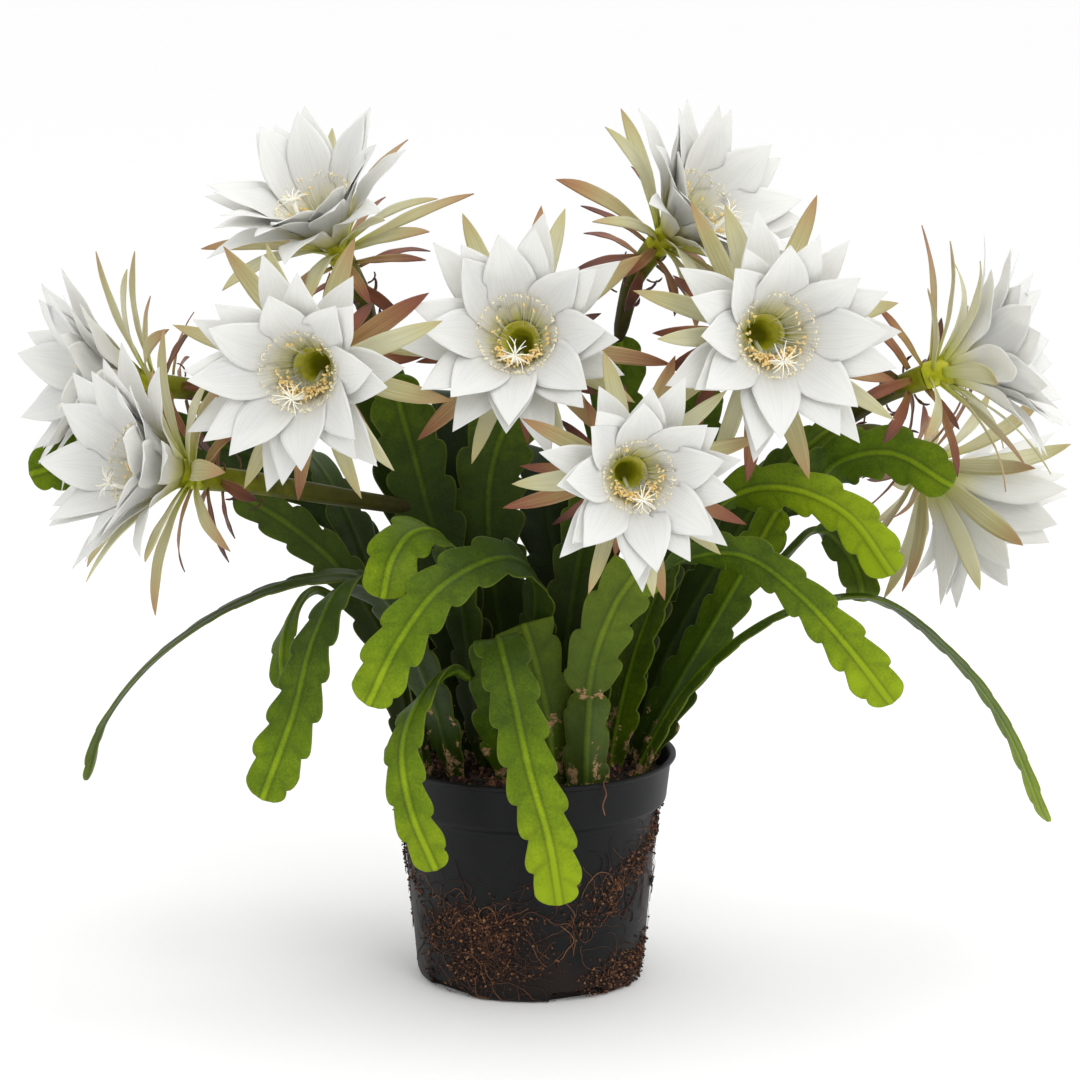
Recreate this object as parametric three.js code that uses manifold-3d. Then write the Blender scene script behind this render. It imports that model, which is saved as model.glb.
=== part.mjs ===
// Potted orchid cactus: a nursery pot of substrate with flat, scalloped stems and ten open
// flowers. Millimetres, +Z up, +X to the right and -Y to the front. The origin is the centre
// of the pot's underside, where the pot stands on its surface.
import * as THREE from "three";
import { mergeVertices } from "three/addons/utils/BufferGeometryUtils.js";
import Module from "manifold-3d";

const wasm = await Module();
wasm.setup();

// ---- Driving dimensions --------------------------------------------------------------------

const GAP = 0.4; // clearance left round a piece that sits in another
const POT_HEIGHT = 148;
const RIM_RADIUS = 95; // a 19 cm pot
const BODY_RADIUS = 83.5; // under the rim band
const BASE_RADIUS = 74;
const WALL = 1.8;
const FLOOR = 2.6;
const SIDES = 36; // of the turned pot and the substrate in it
const NOTCHES = 5; // drain notches cut through the corner of the base
const NOTCH_WIDTH = 40;
const NOTCH_HEIGHT = 7;
const SOIL_EDGE = 133; // height of the substrate at the wall
const SOIL_CROWN = 141; // and at the middle
const LOBE_STEP = 12; // from a notch in a stem's margin to the next lobe
const STALK_WIDTH = 11; // a stem's woody foot
const BRANCH_WIDTH = 6; // and the foot of a branch
const BRANCH_GAP = 3; // from the foot of a branch to its parent's margin
const STALK_THICKNESS = 9;
const BLADE_THICKNESS = 5.6; // at the midrib
const FOOT_LENGTH = 60; // over which the foot widens into the blade

const vec = ([x, y, z]) => new THREE.Vector3(x, y, z);

// ---- Solids --------------------------------------------------------------------------------

// A closed geometry from rings that each hold the same number of points. An end is closed by
// one point where `tip` or `cap` gives it, and by a flat polygon where it doesn't.
function loft(rings, { cap, tip } = {}) {
  const points = rings.flat();
  const n = rings[0].length;
  const faces = [];
  for (let k = 0; k + 1 < rings.length; k++) {
    for (let j = 0; j < n; j++) {
      const a = k * n + j;
      const b = k * n + ((j + 1) % n);
      faces.push(a, b, a + n, b, b + n, a + n);
    }
  }
  const closeEnd = (start, point, flip) => {
    const centre = points.length;
    if (point) points.push(point);
    for (let j = point ? 0 : 1; j < (point ? n : n - 1); j++) {
      const a = start + j;
      const b = start + ((j + 1) % n);
      const c = point ? centre : start;
      faces.push(...(flip ? [a, b, c] : [b, a, c]));
    }
  };
  closeEnd(0, cap, false);
  closeEnd((rings.length - 1) * n, tip, true);
  return solidOf(points, faces);
}

function solidOf(points, faces) {
  const numbers = points.flatMap((p) => p.toArray());
  const geometry = new THREE.BufferGeometry();
  geometry.setAttribute("position", new THREE.Float32BufferAttribute(numbers, 3));
  geometry.setIndex(faces);
  return geometry;
}

function toManifold(geometry) {
  const bare = geometry.clone();
  bare.deleteAttribute("normal");
  bare.deleteAttribute("uv");
  const merged = mergeVertices(bare, 1e-3);
  const mesh = new wasm.Mesh({
    numProp: 3,
    vertProperties: new Float32Array(merged.attributes.position.array),
    triVerts: new Uint32Array(merged.index.array),
  });
  return new wasm.Manifold(mesh);
}

function fromManifold(solid) {
  const { vertProperties, triVerts } = solid.getMesh();
  const geometry = new THREE.BufferGeometry();
  geometry.setAttribute("position", new THREE.BufferAttribute(new Float32Array(vertProperties), 3));
  geometry.setIndex(new THREE.BufferAttribute(new Uint32Array(triVerts), 1));
  return geometry;
}

// ---- Pot -----------------------------------------------------------------------------------

// Outer and inner wall as one closed profile: a rim band 29 mm deep, a shoulder under it and a
// body that tapers to the base.
function potProfile() {
  const outer = [
    [0, 0], [BASE_RADIUS - 5, 0], [BASE_RADIUS - 1, 3], [BASE_RADIUS, 9], [BODY_RADIUS, 114],
    [88.6, 118.5], [92, POT_HEIGHT - 4], [RIM_RADIUS, POT_HEIGHT - 2.5], [RIM_RADIUS - 0.6, POT_HEIGHT],
  ];
  const inner = [
    [RIM_RADIUS - 3.4, POT_HEIGHT], [89.8, POT_HEIGHT - 5], [86.8, 119.5], [BODY_RADIUS - WALL, 115.5],
    [BASE_RADIUS - WALL, 9], [BASE_RADIUS - 6, FLOOR], [0, FLOOR],
  ];
  return [...outer, ...inner].map(([r, z]) => new THREE.Vector2(r, z));
}

// LatheGeometry turns about Y, so the turned body is stood up along Z.
const turned = (profile, sides) => new THREE.LatheGeometry(profile, sides).rotateX(Math.PI / 2);

function pot() {
  let solid = toManifold(turned(potProfile(), SIDES));
  const notch = new THREE.BoxGeometry(16, NOTCH_WIDTH, 2 * NOTCH_HEIGHT);
  for (let i = 0; i < NOTCHES; i++) {
    const angle = THREE.MathUtils.degToRad(-65 + (360 / NOTCHES) * i);
    const cutter = notch.clone();
    cutter.translate(BASE_RADIUS, 0, 0);
    cutter.rotateZ(angle);
    solid = solid.subtract(toManifold(cutter));
  }
  return fromManifold(solid);
}

// ---- Stems ---------------------------------------------------------------------------------

// Each stem is a flat blade along a route, from its foot to its tip. `across` is the direction
// of its width at the foot, on the way and at the tip, and `width` its full width at a lobe.
// A stem stands in the substrate, or it branches `on` another, from the notch in that stem's
// left (-1) or right (1) margin that is nearest to share `at` of its length.
const STEMS = [
  {
    name: "stem_front_hanging",
    route: [[-10, -32, 122], [-20, -54, 190], [-20, -78, 240], [-11, -108, 215], [0, -122, 167],
      [12, -122, 123], [19, -116, 78]],
    across: [[1, 0.1, 0.1], [1, 0, 0.2], [1, 0, 0.1]],
    width: 36,
  },
  {
    name: "stem_left_big",
    route: [[-44, -26, 122], [-64, -38, 200], [-92, -50, 262], [-114, -70, 274], [-134, -86, 242],
      [-146, -94, 199], [-168, -90, 139]],
    across: [[0.7, -0.7, 0.2], [0.6, -0.7, 0.6], [1, -0.2, -0.3]],
    width: 38,
  },
  {
    name: "stem_mid_left",
    route: [[-4, -8, 122], [0, -16, 180], [4, -30, 235], [2, -56, 276], [-18, -82, 292],
      [-54, -108, 280], [-80, -120, 248], [-100, -118, 207]],
    across: [[0.8, -0.5, 0], [0.5, -0.5, -0.7], [0.9, -0.1, -0.4]],
    width: 37,
  },
  {
    name: "stem_short_left",
    route: [[-26, -10, 122], [-36, -14, 200], [-46, -26, 270], [-58, -42, 300], [-74, -62, 304],
      [-86, -79, 290], [-91, -89, 268]],
    across: [[0.6, -0.6, -0.2], [0.6, -0.5, -0.5], [0.9, -0.2, -0.4]],
    width: 38,
  },
  {
    name: "stem_right_mid",
    route: [[40, -26, 122], [45, -28, 200], [54, -36, 236], [70, -44, 266], [98, -56, 288],
      [133, -76, 294], [168, -95, 273], [200, -102, 238], [226, -97, 203]],
    across: [[0.3, -0.9, 0], [0.4, -0.7, 0.5], [0.7, -0.2, 0.7]],
    width: 35,
  },
  {
    name: "stem_right_up",
    route: [[52, -2, 122], [58, -6, 170], [68, -8, 212], [80, -8, 246], [98, -14, 286],
      [130, -34, 324], [163, -54, 332], [198, -66, 318], [228, -64, 278]],
    across: [[0.8, -0.6, 0], [0.3, -0.6, 0.6], [0.7, -0.2, 0.7]],
    width: 35,
  },
  {
    name: "stem_right_broad",
    route: [[66, 4, 122], [78, -6, 158], [97, -10, 196], [124, -10, 244], [146, -8, 284],
      [160, -6, 310]],
    across: [[0.8, -0.5, -0.3], [0.7, -0.5, -0.4], [0.7, -0.5, -0.4]],
    width: 33,
  },
  {
    name: "stem_right_dark",
    on: { stem: "stem_bearer_09", at: 0.72, side: 1 },
    route: [[176, 6, 314], [196, 0, 338], [230, -6, 346], [270, -12, 325]],
    across: [[0.3, -0.4, 0.8], [0.1, -0.3, 1], [0.1, -0.3, 1]],
    width: 42,
  },
  {
    name: "stem_long_right",
    route: [[66, -18, 122], [80, -28, 160], [98, -36, 194], [128, -42, 228], [171, -40, 252],
      [219, -36, 257], [268, -30, 222], [305, -25, 174], [335, -20, 105]],
    across: [[0.2, -1, 0], [0.2, -1, 0.25], [0.3, -1, 0.3]],
    width: 25,
  },
  {
    name: "stem_long_left",
    route: [[-64, -20, 122], [-75, -14, 190], [-88, -14, 240], [-108, -24, 266], [-142, -38, 269],
      [-191, -42, 252], [-242, -40, 215], [-272, -38, 176], [-284, -35, 137]],
    across: [[0.2, 1, 0.1], [0.1, 1, 0.15], [0.3, 1, 0.1]],
    width: 25,
  },
  {
    name: "stem_base_centre",
    route: [[37, -56, 118], [36, -60, 180], [40, -62, 222], [55, -63, 262], [69, -64, 282]],
    across: [[1, -0.1, 0], [1, 0.1, 0], [0.9, 0.1, -0.5]],
    width: 38,
    foot: 24,
  },
  {
    name: "stem_base_left",
    route: [[18, -42, 122], [12, -46, 180], [2, -48, 224], [-4, -50, 244]],
    across: [[1, -0.1, 0], [1, 0, 0.1], [0.9, 0.1, 0.5]],
    width: 33,
    foot: 20,
  },
  {
    name: "stem_bearer_01",
    route: [[-34, 34, 122], [-52, 46, 210], [-84, 58, 320], [-104, 66, 402]],
    across: [[1, 0.3, 0], [1, 0.2, 0.3], [1, 0.3, 0.1]],
    width: 40,
  },
  {
    name: "stem_bearer_02",
    route: [[22, 48, 122], [30, 60, 210], [50, 66, 320], [60, 70, 410]],
    across: [[1, -0.3, 0], [1, -0.2, 0], [1, 0.2, 0]],
    width: 40,
  },
  {
    name: "stem_bearer_03",
    route: [[-62, 38, 122], [-92, 56, 210], [-134, 76, 312], [-172, 88, 352]],
    across: [[1, 0.6, 0.3], [0.6, 0.7, 0.3], [0.4, 0.3, -0.6]],
    width: 38,
  },
  {
    name: "stem_bearer_05",
    route: [[-30, 12, 122], [-44, 18, 210], [-68, 24, 310], [-90, 28, 390]],
    across: [[1, 0.4, 0.2], [1, 0.2, 0.3], [1, 0.3, 0.2]],
    width: 46,
  },
  {
    name: "stem_bearer_06",
    route: [[-2, 24, 122], [-18, 36, 210], [-26, 42, 320], [0, 44, 392]],
    across: [[1, 0.1, 0], [1, -0.1, 0], [1, 0.1, 0]],
    width: 50,
  },
  {
    name: "stem_bearer_07",
    route: [[40, 20, 122], [56, 24, 185], [82, 24, 262], [102, 24, 330], [112, 24, 386]],
    across: [[1, -0.3, 0], [1, -0.2, -0.2], [1, -0.1, -0.1]],
    width: 38,
  },
  {
    name: "stem_bearer_08",
    route: [[14, -12, 122], [20, -13, 200], [32, -6, 280], [42, 0, 330]],
    across: [[1, -0.3, 0], [1, 0, -0.1], [1, 0.2, -0.1]],
    width: 36,
  },
  {
    name: "stem_bearer_09",
    route: [[62, 30, 122], [88, 32, 200], [126, 32, 270], [166, 26, 330], [196, 20, 358]],
    across: [[0.8, -0.5, -0.3], [0.8, -0.3, -0.5], [0.5, -0.6, -0.3]],
    width: 32,
  },
  {
    name: "stem_bearer_10",
    route: [[50, 50, 122], [76, 60, 200], [126, 72, 280], [184, 74, 336]],
    across: [[0.8, -0.5, -0.3], [0.7, -0.4, -0.4], [0.4, -0.8, -0.3]],
    width: 36,
  },
  {
    name: "stem_upper_left",
    route: [[-72, 8, 122], [-90, 14, 205], [-120, 12, 262], [-150, 8, 292], [-188, -2, 320]],
    across: [[0.8, 0.1, 0.3], [0.6, 0.1, 0.6], [0.6, 0, 0.7]],
    width: 30,
  },
  {
    name: "stem_back_left",
    route: [[-42, 54, 122], [-80, 88, 210], [-150, 112, 300], [-240, 104, 336], [-330, 66, 318]],
    across: [[0.8, 0.6, 0], [0.3, 0.5, 0.6], [0.2, 0.3, 0.9]],
    width: 38,
  },
  {
    name: "stem_back_centre",
    route: [[-8, 60, 122], [-22, 88, 220], [-40, 110, 318], [-47, 132, 362], [-45, 158, 334],
      [-40, 172, 262]],
    across: [[1, 0, 0], [1, 0.1, 0], [1, 0, 0]],
    width: 44,
  },
  {
    name: "stem_back_right",
    route: [[26, 70, 122], [24, 98, 205], [10, 130, 288], [14, 152, 318], [30, 167, 280],
      [42, 172, 210]],
    across: [[1, -0.1, 0], [1, 0.2, 0.1], [1, 0.1, 0.1]],
    width: 44,
  },
  {
    name: "stem_pot_left_hanging",
    on: { stem: "stem_front_hanging", at: 0.3, side: -1 },
    route: [[-48, -72, 219], [-66, -98, 208], [-78, -113, 181], [-74, -118, 143], [-58, -114, 100]],
    across: [[0.6, 0.2, 0.8], [0.8, -0.3, 0.6], [1, 0, -0.3]],
    width: 29,
  },
  {
    name: "stem_left_behind",
    on: { stem: "stem_upper_left", at: 0.62, side: -1 },
    route: [[-140, 2, 254], [-151, -14, 244], [-158, -26, 224], [-158, -32, 196]],
    across: [[0.3, -0.8, 0.3], [0.5, -0.8, 0.4], [1, -0.4, 0]],
    width: 26,
  },
  {
    name: "stem_right_under",
    on: { stem: "stem_right_broad", at: 0.86, side: 1 },
    route: [[184, -24, 300], [200, -24, 288], [210, -20, 270], [214, -16, 250]],
    across: [[0.3, -0.7, 0.4], [0.6, -0.5, 0.5], [0.9, -0.2, 0.3]],
    width: 28,
  },
];

const smooth = (t) => THREE.MathUtils.smoothstep(t, 0, 1);

// The vector at share `t` of a short list of vectors.
function along(list, t) {
  const x = t * (list.length - 1);
  const i = Math.min(Math.floor(x), list.length - 2);
  return vec(list[i]).lerp(vec(list[i + 1]), x - i);
}

// A stem's route with its foot: the first point stated, or a point just clear of the notch in
// its parent's margin.
function fullRoute({ on, route }) {
  if (!on) return route;
  const { rings } = stemRings(STEMS.find(({ name }) => name === on.stem));
  const k = 2 * Math.round((on.at * (rings.length - 1)) / 2) + (on.side < 0 ? 0 : 1);
  const [left, , right] = rings[k];
  const [near, far] = on.side < 0 ? [left, right] : [right, left];
  const foot = near.clone().add(near.clone().sub(far).setLength(BRANCH_GAP));
  return [foot.toArray(), ...route];
}

// The rings of a stem: four points each, on the two margins and on the midrib's two sides.
// Lobes and notches alternate along each margin, and a lobe on one side faces a notch on the other.
function stemRings(spec, grow = 0) {
  const { across, width, foot = FOOT_LENGTH } = spec;
  const stalk = spec.on ? BRANCH_WIDTH : STALK_WIDTH;
  const curve = new THREE.CatmullRomCurve3(fullRoute(spec).map(vec), false, "centripetal");
  const length = curve.getLength();
  const count = Math.round(length / LOBE_STEP);
  const thickFoot = Math.min(STALK_THICKNESS, stalk);
  const rings = [];
  for (let k = 0; k < count; k++) {
    const t = k / count;
    const s = t * length;
    const centre = curve.getPointAt(t);
    const tangent = curve.getTangentAt(t);
    const side = along(across, t);
    side.addScaledVector(tangent, -side.dot(tangent)).normalize();
    const face = new THREE.Vector3().crossVectors(side, tangent);
    const open = smooth(s / foot);
    const roundTip = Math.sqrt(1 - Math.max(0, 1 - (length - s) / (0.7 * width)) ** 2);
    const envelope = THREE.MathUtils.lerp(stalk, width, open) * roundTip;
    const notch = 1 - 0.17 * open;
    const left = (envelope * (k % 2 ? 1 : notch)) / 2 + grow;
    const right = (envelope * (k % 2 ? notch : 1)) / 2 + grow;
    const blade = BLADE_THICKNESS * (1 - 0.4 * t);
    const thick = THREE.MathUtils.lerp(thickFoot, blade, smooth(s / FOOT_LENGTH)) / 2 + grow;
    rings.push([
      centre.clone().addScaledVector(side, -left),
      centre.clone().addScaledVector(face, thick),
      centre.clone().addScaledVector(side, right),
      centre.clone().addScaledVector(face, -thick),
    ]);
  }
  return { rings, tip: curve.getPointAt(1).addScaledVector(curve.getTangentAt(1), grow) };
}

function stem(spec, grow = 0) {
  const { rings, tip } = stemRings(spec, grow);
  return loft(rings, { tip });
}

// ---- Substrate -----------------------------------------------------------------------------

// Fills the pot to just under the rim, with a socket round the foot of each stem that it holds.
function soil(stems) {
  const profile = [
    [0, FLOOR + GAP], [BASE_RADIUS - 12, FLOOR + GAP], [BASE_RADIUS - WALL - 0.6, 14],
    [BODY_RADIUS - WALL - 1.3, 115.6], [85.6, 120.5], [87.2, SOIL_EDGE], [62, SOIL_EDGE + 3],
    [34, SOIL_CROWN - 1], [0, SOIL_CROWN],
  ].map(([r, z]) => new THREE.Vector2(r, z));
  let solid = toManifold(turned(profile, SIDES));
  for (const spec of stems) {
    if (spec.on) continue;
    const { rings, tip } = stemRings(spec, GAP);
    const below = rings[0].map((p) => p.clone().add(new THREE.Vector3(0, 0, -GAP)));
    solid = solid.subtract(toManifold(loft([below, ...rings], { tip })));
  }
  return fromManifold(solid);
}

// ---- Flowers -------------------------------------------------------------------------------

// `base` is the top of the flower tube, under the petals, and `axis` the way the flower faces.
// The tube runs back from there through `route` to the margin of the stem that bears it.
const FLOWERS = [
  {
    base: [-125, 44, 471],
    axis: [-0.345, -0.444, 0.827],
    route: [[-108, 62, 432]],
    joint: [-104, 66, 408],
    size: 1,
  },
  {
    base: [88, 52, 476],
    axis: [0.62, -0.49, 0.61],
    route: [[68, 66, 448]],
    joint: [60, 70, 416],
    size: 1,
  },
  {
    base: [-252, 78, 376],
    axis: [-0.933, -0.328, 0.149],
    route: [[-214, 90, 369]],
    joint: [-178, 89, 355],
    size: 1,
  },
  {
    base: [-216, -46, 339],
    axis: [-0.811, -0.515, 0.279],
    route: [[-180, -28, 331], [-130, -4, 318]],
    joint: [-84, 20, 306],
    size: 1,
  },
  {
    base: [-130, -62, 411],
    axis: [-0.28, -0.959, 0.044],
    route: [[-116, -20, 408]],
    joint: [-94, 24, 396],
    size: 1,
  },
  {
    base: [-5, -36, 420],
    axis: [-0.07, -0.949, 0.307],
    route: [[-2, 4, 410]],
    joint: [2, 40, 396],
    size: 1,
  },
  {
    base: [142, -48, 428],
    axis: [0.24, -0.963, 0.126],
    route: [[131, -10, 420]],
    joint: [113, 22, 392],
    size: 1.04,
  },
  {
    base: [59, -92, 349],
    axis: [0.201, -0.975, 0.098],
    route: [[52, -52, 345]],
    joint: [43, -4, 337],
    size: 0.9,
  },
  {
    base: [259, -20, 400],
    axis: [0.93, -0.145, 0.336],
    route: [[226, 4, 382]],
    joint: [200, 20, 360],
    size: 1,
  },
  {
    base: [262, 66, 322],
    axis: [0.7, 0.35, -0.62],
    route: [[232, 66, 344]],
    joint: [190, 74, 340],
    size: 1,
  },
];

const PETALS = 12; // in the cup of white petals, alternately upright and spreading
const SEPALS = 6; // narrow outer petals at the top of the tube
const SEPAL_REACH = 82; // from the axis to a narrow petal's tip
const TUBE_RADIUS = 8;
const TUBE_END_RADIUS = 5; // where the tube leaves the stem
const TUBE_STEPS = 4;

// Radius and height above the flower's base, from the throat to the edge: along the middle of
// an upright petal, of a spreading one, and along the seam between two.
const UPRIGHT_LINE = [[9, 1.5], [21, 24], [40, 51], [54, 70]];
const SPREADING_LINE = [[9, 1.5], [23, 17], [54, 31], [79, 37]];
const SEAM_LINE = [[9, 1.5], [21, 21], [44, 41], [58, 49]];
const PETAL_THICKNESS = 1.8;

// Turns the flower's own frame, whose Z runs along its axis, to the plant's.
function flowerTurn({ axis }) {
  const up = new THREE.Vector3(0, 0, 1);
  return new THREE.Quaternion().setFromUnitVectors(up, vec(axis).normalize());
}

// Places a point stated in the flower's own frame.
function flowerFrame(flower) {
  const { base, size } = flower;
  const turn = flowerTurn(flower);
  return (x, y, z) => {
    return new THREE.Vector3(x, y, z).multiplyScalar(size).applyQuaternion(turn).add(vec(base));
  };
}

// The white petals as one cup with a star-shaped edge, open at the bottom over the tube.
function petals(flower) {
  const place = flowerFrame(flower);
  const columns = 2 * PETALS;
  const lines = [UPRIGHT_LINE, SEAM_LINE, SPREADING_LINE, SEAM_LINE];
  const ring = (k, inwards, up) =>
    Array.from({ length: columns }, (_, j) => {
      const angle = (2 * Math.PI * j) / columns;
      const [r, z] = lines[j % 4][k];
      return place((r - inwards) * Math.cos(angle), (r - inwards) * Math.sin(angle), z + up);
    });
  const outer = UPRIGHT_LINE.map((_, k) => ring(k, 0, 0));
  const inner = outer.slice(0, -1).map((_, k) => ring(k, PETAL_THICKNESS * 0.7, PETAL_THICKNESS));
  return ringBand([...outer, ...inner.reverse()]);
}

// A closed band through rings whose last joins the first, such as a cup with an open bottom.
function ringBand(rings) {
  const n = rings[0].length;
  const faces = [];
  for (let k = 0; k < rings.length; k++) {
    const next = ((k + 1) % rings.length) * n;
    for (let j = 0; j < n; j++) {
      const i = (j + 1) % n;
      faces.push(k * n + j, k * n + i, next + j, k * n + i, next + i, next + j);
    }
  }
  return solidOf(rings.flat(), faces);
}

// The flower tube with its narrow outer petals, cut clear of the stem that bears it.
function tube(flower, grownStems) {
  const { base, axis, route, joint, size } = flower;
  const place = flowerFrame(flower);
  const columns = 2 * SEPALS;
  const around = (j) => (2 * Math.PI * (j + 0.5)) / columns;
  const ring = (rTip, zTip, rNotch, zNotch) =>
    Array.from({ length: columns }, (_, j) => {
      const [r, z] = j % 2 ? [rNotch, zNotch] : [rTip, zTip];
      return place(r * Math.cos(around(j)), r * Math.sin(around(j)), z);
    });
  const rings = [
    ring(TUBE_RADIUS, 0, TUBE_RADIUS, 0),
    ring(SEPAL_REACH, 4, TUBE_RADIUS + 2, -4),
    ring(TUBE_RADIUS, -8, TUBE_RADIUS, -8),
  ];
  const away = vec(base).addScaledVector(vec(axis).normalize(), -8 * size);
  const points = [away, ...route.map(vec), vec(joint)];
  const curve = new THREE.CatmullRomCurve3(points, false, "centripetal");
  const turn = flowerTurn(flower);
  const forward = new THREE.Vector3(0, 0, 1).applyQuaternion(turn);
  for (let k = 1; k <= TUBE_STEPS; k++) {
    const t = k / TUBE_STEPS;
    const tangent = curve.getTangentAt(t).negate();
    const bend = new THREE.Quaternion().setFromUnitVectors(forward, tangent).multiply(turn);
    const r = THREE.MathUtils.lerp(TUBE_RADIUS * size, TUBE_END_RADIUS, t);
    const onCircle = (j) => new THREE.Vector3(r * Math.cos(around(j)), r * Math.sin(around(j)), 0);
    const centre = curve.getPointAt(t);
    const bent = (_, j) => onCircle(j).applyQuaternion(bend).add(centre);
    rings.push(Array.from({ length: columns }, bent));
  }
  const outward = rings.map((points) => [...points].reverse());
  let solid = toManifold(loft(outward, { cap: place(0, 0, 0) }));
  for (const grown of grownStems) solid = solid.subtract(grown);
  const bodies = solid.decompose().sort((a, b) => b.volume() - a.volume());
  return fromManifold(bodies[0]);
}

// Stamens and style as one turned piece: a disc in the throat, the flared ring of filaments and
// the style with its stigma on the axis.
function stamens(flower) {
  const place = flowerFrame(flower);
  const profile = [
    [0, 3], [5, 3], [15, 27], [24, 46], [22.6, 46.5], [12, 27], [4, 9], [1.6, 9], [1.6, 52],
    [7, 58], [0, 57],
  ].map(([r, z]) => new THREE.Vector2(r, z));
  const geometry = turned(profile, 7);
  const position = geometry.getAttribute("position");
  for (let i = 0; i < position.count; i++) {
    position.setXYZ(i, ...place(position.getX(i), position.getY(i), position.getZ(i)).toArray());
  }
  return geometry;
}

// ---- The plant -----------------------------------------------------------------------------

const finish = {
  pot: new THREE.MeshStandardMaterial({ color: 0x2a2c2f, roughness: 0.55, metalness: 0 }),
  soil: new THREE.MeshStandardMaterial({ color: 0x3a2418, roughness: 1, metalness: 0 }),
  stem: new THREE.MeshStandardMaterial({ color: 0x5c8f2a, roughness: 0.5, metalness: 0 }),
  petal: new THREE.MeshStandardMaterial({ color: 0xf4f3ee, roughness: 0.6, metalness: 0 }),
  tube: new THREE.MeshStandardMaterial({ color: 0xb7a878, roughness: 0.6, metalness: 0 }),
  stamen: new THREE.MeshStandardMaterial({ color: 0xf3e3a4, roughness: 0.7, metalness: 0 }),
};

const plant = new THREE.Group();

function add(name, geometry, material) {
  const mesh = new THREE.Mesh(geometry, material);
  mesh.name = name;
  plant.add(mesh);
}

add("pot", pot(), finish.pot);
add("soil", soil(STEMS), finish.soil);
for (const spec of STEMS) add(spec.name, stem(spec), finish.stem);
const grownStems = STEMS.map((spec) => toManifold(stem(spec, GAP)));
FLOWERS.forEach((flower, i) => {
  const name = `flower_${String(i + 1).padStart(2, "0")}`;
  add(`${name}_petals`, petals(flower), finish.petal);
  add(`${name}_tube`, tube(flower, grownStems), finish.tube);
  add(`${name}_stamens`, stamens(flower), finish.stamen);
});

export default plant;
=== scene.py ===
"""A potted orchid cactus: a charcoal nursery pot of bark substrate, flat scalloped stems that
arch over its rim, and ten open white flowers on green-brown tubes. Metres, Z up, -Y to the front.
"""
import functools
import math
import random

import bmesh
import bpy
import numpy as np
from mathutils import Matrix, Vector, noise


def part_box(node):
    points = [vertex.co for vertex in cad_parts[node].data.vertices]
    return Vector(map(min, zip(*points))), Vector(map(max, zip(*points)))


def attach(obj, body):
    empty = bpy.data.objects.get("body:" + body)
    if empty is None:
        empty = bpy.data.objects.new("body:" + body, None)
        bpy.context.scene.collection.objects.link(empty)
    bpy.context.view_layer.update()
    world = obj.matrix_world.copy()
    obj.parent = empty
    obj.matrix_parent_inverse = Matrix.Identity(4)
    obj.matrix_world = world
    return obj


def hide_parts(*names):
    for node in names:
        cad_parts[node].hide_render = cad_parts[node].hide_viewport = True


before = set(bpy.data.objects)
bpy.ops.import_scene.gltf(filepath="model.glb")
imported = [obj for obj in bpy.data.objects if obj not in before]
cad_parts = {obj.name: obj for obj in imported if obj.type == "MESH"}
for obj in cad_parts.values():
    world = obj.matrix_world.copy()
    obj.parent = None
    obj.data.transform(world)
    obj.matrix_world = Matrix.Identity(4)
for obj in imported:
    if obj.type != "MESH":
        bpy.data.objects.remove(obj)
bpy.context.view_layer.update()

# ---- Pot ----
# A 19 cm nursery pot, injection moulded in charcoal polypropylene: a rim band with a rolled lip,
# a shoulder under it, a tapering body with rounded foot and five drain notches in its corner.

MM = 0.001
# The wall's section, (radius, height) in mm, up the outside and then down the inside
POT_OUTSIDE = [
    (69.0, 0.0), (71.4, 0.5), (73.0, 1.8), (73.9, 4.2), (74.3, 8.0), (76.2, 30.0), (78.4, 55.0),
    (80.6, 80.0), (83.3, 112.4), (83.6, 113.8), (84.4, 114.8), (87.6, 117.0), (88.5, 118.0),
    (88.9, 119.6), (90.1, 130.0), (91.6, 142.4), (92.0, 143.8), (93.2, 144.6), (94.5, 145.1),
    (95.0, 146.0), (94.9, 147.2), (94.2, 147.9),
]
POT_INSIDE = [
    (92.6, 148.0), (91.2, 147.4), (90.2, 145.6), (89.6, 142.0), (87.0, 121.0), (86.2, 119.6),
    (82.2, 116.6), (81.6, 114.6), (72.5, 9.0), (70.2, 4.2), (66.0, 2.6),
]
NOTCHES = [math.radians(-65 + 72 * k) for k in range(5)]
NOTCH_SIZE = (16 * MM, 38 * MM, 13.2 * MM)  # the cutter, half of it below the floor
NOTCH_CORNER = 3 * MM
NOTCH_RADIUS = 74 * MM  # of the ring that the notches' middles lie on


def deselect_all():
    for o in bpy.context.selected_objects:
        o.select_set(False)


def select_only(obj):
    deselect_all()
    bpy.context.view_layer.objects.active = obj
    obj.select_set(True)


def primitive(kind, height=0, **sizes):
    """Adds a primitive on the Z axis, with nothing else selected."""
    deselect_all()
    getattr(bpy.ops.mesh, f"primitive_{kind}_add")(location=(0, 0, height), **sizes)
    return bpy.context.object


def edit(obj):
    """Opens a piece in edit mode with all of it selected."""
    select_only(obj)
    bpy.ops.object.mode_set(mode="EDIT")
    bpy.ops.mesh.select_all(action="SELECT")


def leave_edit():
    bpy.ops.object.mode_set(mode="OBJECT")


def face_outwards():
    """Turns the faces of the piece in edit mode outwards, and leaves edit mode."""
    bpy.ops.mesh.select_all(action="SELECT")
    bpy.ops.mesh.normals_make_consistent(inside=False)
    leave_edit()


def apply_modifiers(obj):
    select_only(obj)
    for m in list(obj.modifiers):
        bpy.ops.object.modifier_apply(modifier=m.name)


def linear(hex_colour):
    """A material's colour from its sRGB hex value."""
    channels = [int(hex_colour[i:i + 2], 16) / 255 for i in (1, 3, 5)]
    return tuple(c / 12.92 if c <= 0.04045 else ((c + 0.055) / 1.055) ** 2.4
                 for c in channels) + (1,)


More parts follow.
